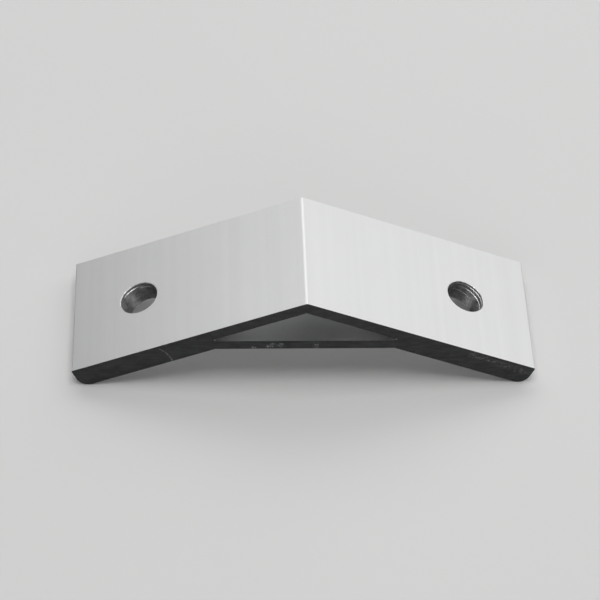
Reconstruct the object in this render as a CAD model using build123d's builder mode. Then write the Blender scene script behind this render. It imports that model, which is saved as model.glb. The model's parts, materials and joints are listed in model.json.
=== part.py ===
# A 135 degree corner bracket for slotted aluminium profile.
#
# The bracket is one length of extruded aluminium, sawn to width and drilled.
# Its section is an open V of two flat legs, stiffened at the corner by a flat
# web that closes off a three-sided hollow. The two outer faces seat on the
# profiles, and one screw through each leg reaches a nut in the profile's slot.
#
# Frame: the bracket stands on the rounded toes of its legs with the ridge up.
# X runs from toe to toe, Y along the extrusion and Z up. The origin is on the
# standing surface, half way between the toes and half way along the extrusion.
from build123d import *

import os
from math import cos, isclose, radians, sin, tan

# ---- Driving dimensions, in millimetres and degrees ----

# The section
included_angle = 135.0  # between the legs, on the side of the web
leg_length = 50.5  # along the outer face, from the sharp ridge to the leg's end
leg_thickness = 5.1
hollow_wall = 2.5  # between the outer face and the hollow
hollow_depth = 10.7  # from the sharp ridge down to the hollow's floor
web_thickness = 2.2  # under the hollow's floor

# The corners of the section
ridge_radius = 0.95
tip_radius = 0.3  # the outer corner of a leg's end
toe_radius = 2.5  # the inner corner, which the bracket stands on
web_corner_radius = 0.5  # where the web's underside runs into the legs
hollow_corner_radius = 0.3

# The cut length, and what is machined after sawing
width = 30.0  # the same as the profile's
sawn_edge_break = 0.08
hole_diameter = 8.0  # clears the screw
hole_from_ridge = 36.0  # along the outer face, from the sharp ridge
hole_edge_break = 0.12

# ---- Worked out from them ----

slope = (180.0 - included_angle) / 2  # of each leg, below the horizontal
rise = sin(radians(slope))
run = cos(radians(slope))
pitch = tan(radians(slope))

# The lowest point of a toe is straight below the centre of its rounding, which
# sets how far the sharp ridge stands above the surface.
toe_centre_along = leg_length - toe_radius
toe_centre_below = leg_thickness - toe_radius
ridge_height = toe_centre_along * rise + toe_centre_below * run + toe_radius

# The web's underside ends on the legs' inner faces, and the hollow's floor on
# the far side of the hollow's wall.
web_depth = hollow_depth + web_thickness
web_half_width = (web_depth - leg_thickness / run) / pitch
hollow_top_depth = hollow_wall / run
hollow_half_width = (hollow_depth - hollow_top_depth) / pitch

# ---- The section and its hollow, drawn from the sharp ridge ----

section_plane = Plane(origin=(0, 0, ridge_height), x_dir=(1, 0, 0), z_dir=(0, -1, 0))

with BuildSketch(section_plane) as section:
    # Each leg hangs under its outer face and slopes down from the ridge.
    Rectangle(leg_length, leg_thickness, rotation=-slope, align=(Align.MIN, Align.MAX))
    mirror(about=Plane.YZ)
    # The corner is filled down to the web's underside.
    Polygon((0, 0), (web_half_width, -web_depth), (-web_half_width, -web_depth), align=None)

    fillet(section.vertices().sort_by(Axis.Y)[-1], ridge_radius)
    fillet(section.vertices().filter_by(lambda v: isclose(v.Y, -web_depth)), web_corner_radius)
    fillet(section.vertices().group_by(Axis.Y)[0], toe_radius)
    fillet(section.vertices().group_by(Axis.X)[0], tip_radius)
    fillet(section.vertices().group_by(Axis.X)[-1], tip_radius)

with BuildSketch(section_plane) as hollow:
    Polygon(
        (0, -hollow_top_depth),
        (hollow_half_width, -hollow_depth),
        (-hollow_half_width, -hollow_depth),
        align=None,
    )
    fillet(hollow.vertices(), hollow_corner_radius)


# ---- The bracket ----


def hole_plane(side):
    """The plane on a leg's outer face at its hole, facing out. side is 1 on +X and -1 on -X."""
    return Plane(
        origin=(side * hole_from_ridge * run, 0, ridge_height - hole_from_ridge * rise),
        x_dir=(0, 1, 0),
        z_dir=(side * rise, 0, run),
    )


with BuildPart() as bracket:
    extrude(section.sketch, amount=width / 2, both=True)
    extrude(hollow.sketch, amount=width / 2, both=True, mode=Mode.SUBTRACT)

    # Both sawn ends are deburred all round, the hollow's edges too.
    chamfer(bracket.faces().filter_by(Axis.Y).edges(), sawn_edge_break)

    # One screw hole through each leg, its edges broken on both faces.
    with Locations(hole_plane(1), hole_plane(-1)):
        Hole(hole_diameter / 2, depth=leg_thickness)
    chamfer(bracket.edges(Select.LAST).filter_by(GeomType.CIRCLE), hole_edge_break)

bracket.part.label = "bracket"

os.makedirs("parts", exist_ok=True)
export_step(bracket.part, "parts/bracket.step")
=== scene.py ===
"""The looks of the corner bracket: extruded legs and web, sawn ends and drilled holes, in a plain studio.

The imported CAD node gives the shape. Its mesh is copied, the walls of the two holes are turned again with
the arcs that the drill left, and every face gets the finish of the cut that made it.
"""

import json
import math

import bmesh
import bpy
from mathutils import Matrix, Vector


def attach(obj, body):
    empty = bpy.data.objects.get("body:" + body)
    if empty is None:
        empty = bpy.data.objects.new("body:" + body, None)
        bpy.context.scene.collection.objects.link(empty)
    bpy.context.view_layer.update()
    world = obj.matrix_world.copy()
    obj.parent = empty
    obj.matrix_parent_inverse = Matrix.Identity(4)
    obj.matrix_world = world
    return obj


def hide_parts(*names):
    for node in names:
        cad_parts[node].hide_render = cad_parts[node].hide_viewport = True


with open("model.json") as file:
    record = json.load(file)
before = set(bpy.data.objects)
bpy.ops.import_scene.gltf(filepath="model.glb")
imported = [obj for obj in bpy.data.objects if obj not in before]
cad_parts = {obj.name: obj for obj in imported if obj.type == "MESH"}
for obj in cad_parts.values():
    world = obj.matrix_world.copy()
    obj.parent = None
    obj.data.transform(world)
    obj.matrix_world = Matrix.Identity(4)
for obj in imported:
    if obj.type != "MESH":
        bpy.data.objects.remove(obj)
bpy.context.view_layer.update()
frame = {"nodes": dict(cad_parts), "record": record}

MM = 0.001

# ---- The bracket ----

NODE = "bracket"
WELD_DISTANCE = 0.0005 * MM
FLAT_ANGLE = math.radians(0.2)  # triangles that turn by less are one flat face
SHARP_ANGLE = math.radians(30)
SHARP_ANGLE_AT_HOLES = math.radians(50)  # the drill's broken edges run smoothly into the face and the wall

# What tells the cuts apart: distances, and cosines between a face's normal and an axis
WALL_TOLERANCE = 0.02 * MM  # how far the points of a hole's wall may lie from the true radius
RIM_BAND = 0.3 * MM  # wide enough to take in the broken edge round a hole
LEG_FACE_COSINE = 0.95  # to a hole's axis. More than this is the leg's own face, past the drill's reach
LEDGE_COSINE = 0.6  # to a hole's axis. More than this is a ledge or a broken edge, and less is the wall
SAWN_COSINE = 0.5  # to Y, which takes in the broken edges of the sawn ends
LEVEL_COSINE = 0.99  # to Z, on the hollow's floor
DRAWN_COSINE = 0.1  # to Y. Less than this is a wall that the die drew
OPENING_GAP = 0.1 * MM  # more than lies between the hollow's floor and the box of its opening

# Arcs that the drill scored in each hole. Each has the depth of the small ledge at its foot and how far it
# cuts in, in millimetres, the side on which it is deepest and how far it runs either way, in degrees from
# the toe towards +Y, and how many millimetres deeper it lies 90 degrees on.
HOLE_ARCS = {
    "left_hole": ((0.85, 0.2, 62, 34, 0.2), (1.3, 0.14, 104, 24, 0.2)),
    "right_hole": ((0.6, 0.22, 56, 62, -0.1), (1.5, 0.18, 44, 64, -0.2), (2.6, 0.12, 84, 34, -0.9)),
}
ARC_RUN_IN = 0.4 * MM  # along the wall, from where an arc starts to its ledge
LEDGE_SLOPE = math.tan(math.radians(28))  # of a ledge, down the wall as it comes back in

# Material slots of the dressed mesh
EXTRUDED, SAWN, DRILLED, BURNISHED, HOLLOW = range(5)


class Bore:
    """A drilled hole of the record, with its axis pointing out of the outer face."""

    def __init__(self, mount):
        self.name = mount["name"]
        self.out = -Vector(mount["axis"]).normalized()
        self.radius = mount["dims"]["r_mm"] * MM
        self.mouth = Vector(mount["pos_m"]) + self.out * mount["dims"]["length_mm"] * MM / 2
        self.across = Vector((0, 1, 0))
        self.along = self.across.cross(self.out) * math.copysign(1, self.mouth.x)  # towards the toe

    def depth(self, point):
        """How far below the outer face the point lies, along the axis."""
        return (self.mouth - point).dot(self.out)

    def spoke(self, point):
        """From the axis to the point, at right angles to the axis."""
        offset = point - self.mouth
        return offset - offset.dot(self.out) * self.out

    def angle(self, point):
        """Round the axis, from the toe towards +Y."""
        spoke = self.spoke(point)
        return math.atan2(spoke.dot(self.across), spoke.dot(self.along))

    def place(self, angle, depth, radius):
        """The point with this angle, this depth and this distance from the axis."""
        spoke = self.along * math.cos(angle) + self.across * math.sin(angle)
        return self.mouth - self.out * depth + spoke * radius


BORES = {mount["name"]: Bore(mount) for mount in frame["record"]["mounts"] if mount["kind"] == "bore"}


def bare_metal(node):
    """The node's mesh as one closed skin, with the triangles of each flat face joined."""
    bm = bmesh.new()
    bm.from_mesh(node.data)
    bmesh.ops.remove_doubles(bm, verts=bm.verts, dist=WELD_DISTANCE)
    bmesh.ops.dissolve_limit(bm, angle_limit=FLAT_ANGLE, verts=bm.verts, edges=bm.edges)
    return bm


def wall_faces(bm, bore):
    """The faces of a hole's plain wall."""
    return [
        face
        for face in bm.faces
        if all(abs(bore.spoke(v.co).length - bore.radius) < WALL_TOLERANCE for v in face.verts)
    ]


def cut_out_wall(bm, bore):
    """Deletes a hole's plain wall and gives the two rims that it leaves, the mouth's first."""
    faces = wall_faces(bm, bore)
    verts = sorted({v for face in faces for v in face.verts}, key=lambda v: bore.depth(v.co))
    half = len(verts) // 2
    bmesh.ops.delete(bm, geom=faces, context="FACES")
    return [sorted(rim, key=lambda v: bore.angle(v.co)) for rim in (verts[:half], verts[half:])]


def arc_at(arc, angle):
    """How far an arc of HOLE_ARCS cuts in at an angle, and the depth of its ledge there."""
    depth, deepest_cut, side, span, climb = arc
    turned = math.remainder(math.degrees(angle) - side, 360)
    share = max(0.0, 1.0 - (turned / span) ** 2)
    within = max(-span, min(span, turned))
    return deepest_cut * MM * share, (depth + climb * within / 90) * MM


def arc_loops(bm, bore, arc, angles, reached):
    """Rings of points where an arc starts, at the top of its ledge and at its foot, now reached."""
    starts, tops, feet = [], [], []
    for i, angle in enumerate(angles):
        cut, ledge = arc_at(arc, angle)
        start = max(ledge - ARC_RUN_IN, reached[i] + WELD_DISTANCE)
        foot = ledge + LEDGE_SLOPE * cut + WELD_DISTANCE
        starts.append(bm.verts.new(bore.place(angle, start, bore.radius)))
        tops.append(bm.verts.new(bore.place(angle, ledge, bore.radius + cut)))
        feet.append(bm.verts.new(bore.place(angle, foot, bore.radius)))
        reached[i] = foot
    return [starts, tops, feet]


def turn_wall(bm, bore):
    """Replaces a hole's plain wall with one that has the arcs of HOLE_ARCS."""
    mouth_rim, inner_rim = cut_out_wall(bm, bore)
    angles = [bore.angle(vert.co) for vert in mouth_rim]
    reached = [bore.depth(vert.co) for vert in mouth_rim]
    loops = [mouth_rim]
    for arc in HOLE_ARCS[bore.name]:
        loops += arc_loops(bm, bore, arc, angles, reached)
    loops.append(inner_rim)
    for upper, lower in zip(loops, loops[1:]):
        for i in range(len(angles)):
            bm.faces.new((upper[i - 1], upper[i], lower[i], lower[i - 1]))


def cut_of(face):
    """Which cut made a face: the die, the saw, or the drill, which burnished its edges and ledges."""
    centre = face.calc_center_median()
    for bore in BORES.values():
        cosine = abs(face.normal.dot(bore.out))
        if bore.spoke(centre).length < bore.radius + RIM_BAND and cosine < LEG_FACE_COSINE:
            return BURNISHED if cosine > LEDGE_COSINE else DRILLED
    return SAWN if abs(face.normal.y) > SAWN_COSINE else EXTRUDED


def walls_of_hollow(bm):
    """The faces round the through hollow: its floor, just under the opening's box, and what it runs into."""
    low = frame["record"]["physics"]["openings"][0]["box_m"][0][2]
    level = [f for f in bm.faces if f.normal.z > LEVEL_COSINE]
    to_visit = [f for f in level if abs(f.calc_center_median().z - low) < OPENING_GAP]
    walls = set(to_visit)
    while to_visit:
        for edge in to_visit.pop().edges:
            found = [f for f in edge.link_faces if f not in walls and abs(f.normal.y) < DRAWN_COSINE]
            walls.update(found)
            to_visit.extend(found)
    return walls


def is_smooth(edge):
    """Whether the shading runs on across an edge."""
    at_hole = any(face.material_index in (DRILLED, BURNISHED) for face in edge.link_faces)
    return edge.calc_face_angle(0.0) < (SHARP_ANGLE_AT_HOLES if at_hole else SHARP_ANGLE)


def mark_cuts(bm):
    """Gives every face the finish of its cut, and every edge its sharpness."""
    for face in bm.faces:
        face.smooth = True
        face.material_index = cut_of(face)
    for face in walls_of_hollow(bm):
        face.material_index = HOLLOW
    for edge in bm.edges:
        edge.smooth = is_smooth(edge)


def dressed_bracket(materials):
    """The visible bracket, which stands for the CAD node."""
    bm = bare_metal(frame["nodes"][NODE])
    for bore in BORES.values():
        turn_wall(bm, bore)
    bmesh.ops.recalc_face_normals(bm, faces=bm.faces)
    mark_cuts(bm)
    mesh = bpy.data.meshes.new("dressed_bracket")
    bm.to_mesh(mesh)
    bm.free()
    for material in materials:
        mesh.materials.append(material)
    piece = bpy.data.objects.new("dressed_bracket", mesh)
    bpy.context.scene.collection.objects.link(piece)
    weighted = piece.modifiers.new("flat_faces_stay_flat", "WEIGHTED_NORMAL")
    weighted.keep_sharp = True
    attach(piece, "root")
    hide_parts(NODE)
    return piece


# ---- Materials ----

# Each finish has the base colours of its darkest and brightest parts, a range of roughness and a relief
EXTRUDED_COLOURS = ((0.8, 0.803, 0.806, 1), (0.83, 0.833, 0.836, 1))
EXTRUDED_ROUGHNESS = (0.35, 0.41)
EXTRUDED_RELIEF = 0.003 * MM

# The hollow's colours run from painted shade to painted highlight, in broad bands across x
HOLLOW_PAINTED_SHEEN_COLOURS = ((0.64, 0.643, 0.646, 1), (0.84, 0.843, 0.846, 1))
HOLLOW_ROUGHNESS = (0.29, 0.33)
HOLLOW_RELIEF = 0.0002 * MM

# The sawn ends' near-black base colour is painted shade for the dark surroundings that they mirror, with a
# random smear between the two tones
SAWN_COLOURS_WITH_PAINTED_SHADE = ((0.045, 0.046, 0.047, 1), (0.064, 0.065, 0.067, 1))
SAWN_ROUGHNESS = (0.45, 0.6)
SAWN_RELIEF = 0.012 * MM

BURNISHED_COLOURS = ((0.55, 0.553, 0.556, 1), (0.92, 0.923, 0.926, 1))
BURNISHED_ROUGHNESS = (0.36, 0.48)
BURNISHED_RELIEF = 0.002 * MM

# The holes' walls get a dark base colour, painted shade for their depth, with a random smear and the rings'
# tone on it
DRILLED_COLOURS_WITH_PAINTED_SHADE = ((0.23, 0.232, 0.235, 1), (0.42, 0.422, 0.425, 1))
DRILLED_ROUGHNESS = (0.46, 0.54)
DRILLED_RELIEF = 0.002 * MM

NOISE_RANGE = (0.3, 0.7)  # what most of a noise's values lie between

# Periods of what repeats, and how far noise moves it to and fro, in millimetres
BLADE_PITCH = 0.45  # between two arcs of the saw
BLADE_WANDER = 1.2
BLADE_HUB = (0.035, 0.0, -0.14)  # the centre of those arcs in metres, far below the section
DRILL_FEED = 0.5  # between two rings on a hole's wall
DRILL_WANDER = 0.6
HOLLOW_SHEEN_PITCH = 25.0  # between two painted highlights in the hollow
HOLLOW_SHEEN_WANDER = 4.0
HOLLOW_SHEEN_AT = -12.0  # the x of one of them

# Marks on the front sawn end, as (x, z) in millimetres, and how wide they are
SCRATCH = ((-29.0, 10.5), (-27.8, 9.6), (-26.9, 8.2), (-26.3, 6.9))
SCRATCH_HALF_WIDTH = 0.22
SCUFF = ((33.4, 8.4), (40.6, 4.9), (46.0, 2.1))
SCUFF_HALF_WIDTH = 1.1
DENTS = ((-10.3, 10.6), (-7.3, 11.0), (-6.5, 11.5), (-4.9, 11.5), (2.1, 11.3))
DENT_RADIUS = 0.8
MARK_COLOUR = (0.34, 0.342, 0.345, 1)
FAR_OFF = 1000.0  # millimetres from any mark


class Shader:
    """A Principled material, and short ways to add the nodes that feed it."""

    def __init__(self, name):
        self.material = bpy.data.materials.new(name)
        self.material.use_nodes = True
        self.tree = self.material.node_tree
        self.surface = self.tree.nodes["Principled BSDF"]
        self.place = self.add("ShaderNodeTexCoord").outputs["Object"]

    def add(self, kind, **settings):
        node = self.tree.nodes.new(kind)
        for key, value in settings.items():
            setattr(node, key, value)
        return node

    def feed(self, socket, value):
        """Links an output to a socket, or sets the socket to a constant."""
        if isinstance(value, bpy.types.NodeSocket):
            self.tree.links.new(value, socket)
        else:
            socket.default_value = value

    def math(self, operation, *values, clamp=False):
        node = self.add("ShaderNodeMath", operation=operation, use_clamp=clamp)
        for socket, value in zip(node.inputs, values):
            self.feed(socket, value)
        return node.outputs[0]

    def vector(self, operation, *values):
        node = self.add("ShaderNodeVectorMath", operation=operation)
        for socket, value in zip(node.inputs, values):
            self.feed(socket, value)
        return node.outputs["Value" if operation in ("DOT_PRODUCT", "LENGTH", "DISTANCE") else "Vector"]

    def part(self, vector, axis):
        node = self.add("ShaderNodeSeparateXYZ")
        self.feed(node.inputs[0], vector)
        return node.outputs[axis]

    def joined(self, x, y, z):
        node = self.add("ShaderNodeCombineXYZ")
        for socket, value in zip(node.inputs, (x, y, z)):
            self.feed(socket, value)
        return node.outputs[0]

    def stretched(self, x, y, z):
        """The piece's own coordinates, in cycles per millimetre along each axis."""
        return self.vector("MULTIPLY", self.place, (x / MM, y / MM, z / MM))

    def noise(self, vector, scale=1.0, detail=2.0, roughness=0.5):
        node = self.add("ShaderNodeTexNoise")
        self.feed(node.inputs["Vector"], vector)
        node.inputs["Scale"].default_value = scale
        node.inputs["Detail"].default_value = detail
        node.inputs["Roughness"].default_value = roughness
        return node.outputs["Fac"]

    def ramp(self, value, low, high, to_low=0.0, to_high=1.0):
        node = self.add("ShaderNodeMapRange", clamp=True)
        for socket, given in zip(node.inputs, (value, low, high, to_low, to_high)):
            self.feed(socket, given)
        return node.outputs["Result"]

    def blend(self, share, first, second):
        node = self.add("ShaderNodeMix", data_type="RGBA")
        self.feed(node.inputs["Factor"], share)
        self.feed(node.inputs["A"], first)
        self.feed(node.inputs["B"], second)
        return node.outputs["Result"]

    def wave(self, operation, place, pitch):
        """The sine or cosine of a place in millimetres, which comes round once in each pitch."""
        return self.math(operation, self.math("MULTIPLY", place, 2 * math.pi / pitch))

    def line_through(self, points, half_width):
        """1 on a line through the (x, z) points in millimetres, and 0 from half_width off it."""
        here = self.stretched(1, 0, 1)
        nearest = FAR_OFF
        for (x, z), (next_x, next_z) in zip(points, points[1:]):
            run = Vector((next_x - x, 0, next_z - z))
            offset = self.vector("SUBTRACT", here, (x, 0, z))
            along = self.vector("DOT_PRODUCT", offset, run)
            share = self.math("DIVIDE", along, run.length_squared, clamp=True)
            off_line = self.vector("SUBTRACT", offset, self.vector("MULTIPLY", share, run))
            nearest = self.math("MINIMUM", nearest, self.vector("LENGTH", off_line))
        return self.ramp(nearest, 0.0, half_width, 1.0, 0.0)

    def spots(self, points, radius):
        """1 at each of the (x, z) points in millimetres, and 0 from radius off it."""
        here = self.stretched(1, 0, 1)
        nearest = FAR_OFF
        for x, z in points:
            nearest = self.math("MINIMUM", nearest, self.vector("DISTANCE", here, (x, 0, z)))
        return self.ramp(nearest, 0.0, radius, 1.0, 0.0)

    def finish(self, colour, roughness, height, relief):
        """Feeds the surface with its colour, its roughness and its relief, in metres where height is 1."""
        bump = self.add("ShaderNodeBump")
        bump.inputs["Strength"].default_value = 1.0
        bump.inputs["Distance"].default_value = relief
        self.feed(bump.inputs["Height"], height)
        self.feed(self.surface.inputs["Base Color"], colour)
        self.feed(self.surface.inputs["Roughness"], roughness)
        self.feed(self.surface.inputs["Normal"], bump.outputs["Normal"])
        return self.material


def metal(name):
    """A bare metal shader."""
    shader = Shader(name)
    shader.surface.inputs["Metallic"].default_value = 1.0
    return shader


def as_extruded():
    """Satin aluminium with the fine lines that the die drew along Y."""
    s = metal("aluminium_as_extruded")
    fine = s.noise(s.stretched(7.0, 0.02, 7.0), detail=3.0)
    bands = s.noise(s.stretched(0.55, 0.004, 0.55), detail=3.0)
    grain = s.noise(s.stretched(12.0, 12.0, 12.0), detail=1.0)
    cloud = s.noise(s.stretched(0.12, 0.08, 0.12), detail=2.0)
    lines = s.math("ADD", s.math("MULTIPLY", fine, 0.7), s.math("MULTIPLY", grain, 0.3))
    tone = s.ramp(s.math("ADD", bands, s.math("MULTIPLY", cloud, 0.4)), 0.5, 0.9)
    colour = s.blend(tone, *EXTRUDED_COLOURS)
    return s.finish(colour, s.ramp(fine, *NOISE_RANGE, *EXTRUDED_ROUGHNESS), lines, EXTRUDED_RELIEF)


def in_the_hollow():
    """The hollow's walls, drawn over the die's core, with broad bands of painted highlight and painted shade
    along Y.
    """
    s = metal("aluminium_in_the_hollow")
    lines = s.noise(s.stretched(2.0, 0.02, 2.0), detail=2.0)
    cloud = s.noise(s.stretched(0.25, 0.1, 0.25), detail=2.0)
    wander = s.math("MULTIPLY", s.math("SUBTRACT", cloud, 0.5), HOLLOW_SHEEN_WANDER)
    x = s.math("ADD", s.math("DIVIDE", s.part(s.place, "X"), MM), wander)
    # A painted highlight: the band is lightest at one x and darker either side
    band = s.ramp(s.wave("COSINE", s.math("SUBTRACT", x, HOLLOW_SHEEN_AT), HOLLOW_SHEEN_PITCH), -1.0, 1.0)
    colour = s.blend(band, *HOLLOW_PAINTED_SHEEN_COLOURS)
    return s.finish(colour, s.ramp(lines, *NOISE_RANGE, *HOLLOW_ROUGHNESS), lines, HOLLOW_RELIEF)


def marks_on_front(s):
    """1 where the scratch, the scuff and the dents lighten the front sawn end."""
    front = s.math("LESS_THAN", s.part(s.place, "Y"), 0.0)
    specks = s.ramp(s.noise(s.stretched(3.0, 0, 3.0), detail=2.0), 0.48, 0.58)
    streaks = s.ramp(s.noise(s.stretched(0.9, 0, 2.2), detail=4.0, roughness=0.7), 0.5, 0.62)
    broken = s.ramp(specks, 0.0, 1.0, 0.15, 0.7)
    scratch = s.math("MULTIPLY", s.line_through(SCRATCH, SCRATCH_HALF_WIDTH), broken)
    scuff = s.math("MULTIPLY", s.line_through(SCUFF, SCUFF_HALF_WIDTH), s.math("MULTIPLY", streaks, 0.45))
    dents = s.math("MULTIPLY", s.spots(DENTS, DENT_RADIUS), s.math("MULTIPLY", specks, 1.2))
    marks = s.math("MAXIMUM", s.math("MAXIMUM", scratch, scuff), dents)
    return s.math("MULTIPLY", marks, front, clamp=True)


def as_sawn():
    """Sawn aluminium, dull, with painted shade that darkens it to near black, scored by the blade and marked
    at the front.
    """
    s = metal("aluminium_sawn")
    hub = s.vector("MULTIPLY", s.vector("SUBTRACT", s.place, BLADE_HUB), (1, 0, 1))
    radius = s.math("DIVIDE", s.vector("LENGTH", hub), MM)
    wander = s.math("MULTIPLY", s.noise(s.stretched(0.25, 0.25, 0.25)), BLADE_WANDER)
    teeth = s.wave("SINE", s.math("ADD", radius, wander), BLADE_PITCH)
    torn = s.noise(s.stretched(3.0, 3.0, 3.0), detail=3.0)
    smear = s.noise(s.stretched(0.5, 0.5, 1.6), detail=3.0)
    # The base colour here is painted shade, near black, with a random smear across it
    bare = s.blend(s.ramp(smear, 0.35, 0.65), *SAWN_COLOURS_WITH_PAINTED_SHADE)
    colour = s.blend(marks_on_front(s), bare, MARK_COLOUR)
    height = s.math("ADD", s.math("MULTIPLY", teeth, 0.2), torn)
    return s.finish(colour, s.ramp(torn, *NOISE_RANGE, *SAWN_ROUGHNESS), height, SAWN_RELIEF)


def burnished():
    """Broken edges and ledges that the drill rubbed bright."""
    s = metal("aluminium_burnished")
    rub = s.noise(s.stretched(4.0, 4.0, 4.0), detail=2.0)
    bright = s.ramp(s.noise(s.stretched(1.3, 1.3, 1.3), detail=1.0), 0.38, 0.55)
    colour = s.blend(bright, *BURNISHED_COLOURS)
    return s.finish(colour, s.ramp(rub, *NOISE_RANGE, *BURNISHED_ROUGHNESS), rub, BURNISHED_RELIEF)


def as_drilled():
    """The holes' walls, darkened with painted shade, which gleam in a band along the axis, across the fine
    rings that the drill left.
    """
    s = metal("aluminium_drilled")
    right = BORES["right_hole"].out
    x = s.part(s.place, "X")
    axis = s.joined(s.math("MULTIPLY", s.math("SIGN", x), right.x), right.y, right.z)
    depth = s.math("DIVIDE", s.vector("DOT_PRODUCT", s.place, axis), MM)
    wander = s.math("MULTIPLY", s.noise(s.stretched(0.5, 0.5, 0.5)), DRILL_WANDER)
    rings = s.wave("SINE", s.math("ADD", depth, wander), DRILL_FEED)
    grit = s.noise(s.stretched(5.0, 5.0, 5.0), detail=3.0)
    smear = s.ramp(s.noise(s.stretched(1.1, 1.1, 1.1), detail=4.0, roughness=0.65), 0.36, 0.64)
    tone = s.math("ADD", smear, s.math("MULTIPLY", rings, 0.15), clamp=True)
    colour = s.blend(tone, *DRILLED_COLOURS_WITH_PAINTED_SHADE)
    height = s.math("ADD", s.math("MULTIPLY", rings, 0.5), grit)
    s.feed(s.surface.inputs["Tangent"], axis)
    s.surface.inputs["Anisotropic"].default_value = 1.0
    return s.finish(colour, s.ramp(grit, *NOISE_RANGE, *DRILLED_ROUGHNESS), height, DRILLED_RELIEF)


# ---- The studio ----

# Azimuths are from +Y towards +X. They and the elevations are in degrees, and distances in metres.

# The camera, from the middle of what it looks at
AIM = Vector((-0.0006, -0.0015, 0.0102))
DISTANCE = 0.4854
AZIMUTH = 3.57  # of the line of sight
ELEVATION = 46.49
ROLL = math.radians(2.33)
LENS = 143.7  # millimetres
SENSOR = 36.0  # millimetres
CLIP_START = 0.01

# The lamps: azimuth, elevation, distance, width, height and radiance, which is what a mirror would show
SOFTBOXES = {
    "back_right_softbox": (52, 35, 0.8, 1.12, 0.75, 0.84),
    "back_left_softbox": (-18, 45, 0.8, 0.7, 0.5, 1.05),
    "overhead_softbox": (180, 83, 0.8, 0.5, 0.5, 3.8),
    "front_softbox": (180, 18, 1.2, 1.8, 0.7, 0.5),
}
WORLD_STRENGTH = 0.12

FLOOR_SIDE = 4.0
FLOOR_COLOURS = ((0.78, 0.78, 0.775, 1), (0.82, 0.82, 0.815, 1))
FLOOR_ROUGHNESS = 0.7
FLOOR_SPECULAR = 0.2


def direction(azimuth, elevation):
    """The unit vector that points this way."""
    azimuth, elevation = math.radians(azimuth), math.radians(elevation)
    level = math.cos(elevation)
    return Vector((math.sin(azimuth) * level, math.cos(azimuth) * level, math.sin(elevation)))


def camera():
    sight = direction(AZIMUTH, -ELEVATION)
    level = sight.cross(Vector((0, 0, 1))).normalized()
    upright = level.cross(sight)
    right = level * math.cos(ROLL) + upright * math.sin(ROLL)
    up = right.cross(sight)
    data = bpy.data.cameras.new("camera")
    data.lens = LENS
    data.sensor_width = SENSOR
    data.clip_start = CLIP_START
    made = bpy.data.objects.new("camera", data)
    turn = Matrix((right, up, -sight)).transposed()
    made.matrix_world = Matrix.Translation(AIM - sight * DISTANCE) @ turn.to_4x4()
    bpy.context.scene.collection.objects.link(made)
    bpy.context.scene.camera = made


def softbox(name, azimuth, elevation, distance, width, height, radiance):
    """A lamp that faces the bracket."""
    towards = direction(azimuth, elevation)
    data = bpy.data.lights.new(name, "AREA")
    data.shape = "RECTANGLE"
    data.size = width
    data.size_y = height
    data.energy = radiance * math.pi * width * height
    lamp = bpy.data.objects.new(name, data)
    lamp.location = towards * distance
    lamp.rotation_mode = "QUATERNION"
    lamp.rotation_quaternion = towards.to_track_quat("Z", "Y")
    bpy.context.scene.collection.objects.link(lamp)


def floor():
    mesh = bpy.data.meshes.new("floor")
    side = FLOOR_SIDE / 2
    corners = [(-side, -side, 0), (side, -side, 0), (side, side, 0), (-side, side, 0)]
    mesh.from_pydata(corners, [], [(0, 1, 2, 3)])
    s = Shader("pale_floor")
    cloud = s.noise(s.stretched(0.01, 0.01, 0.01), detail=2.0)
    s.feed(s.surface.inputs["Base Color"], s.blend(cloud, *FLOOR_COLOURS))
    s.surface.inputs["Roughness"].default_value = FLOOR_ROUGHNESS
    s.surface.inputs["Specular IOR Level"].default_value = FLOOR_SPECULAR
    mesh.materials.append(s.material)
    made = bpy.data.objects.new("floor", mesh)
    bpy.context.scene.collection.objects.link(made)


def surroundings():
    """A faint white light from all round."""
    world = bpy.data.worlds.new("studio")
    world.use_nodes = True
    background = world.node_tree.nodes["Background"]
    background.inputs["Color"].default_value = (1, 1, 1, 1)
    background.inputs["Strength"].default_value = WORLD_STRENGTH
    bpy.context.scene.world = world


def studio():
    surroundings()
    for name, settings in SOFTBOXES.items():
        softbox(name, *settings)
    floor()
    camera()
    bpy.context.scene.view_settings.view_transform = "Standard"


dressed_bracket([as_extruded(), as_sawn(), as_drilled(), burnished(), in_the_hollow()])
studio()
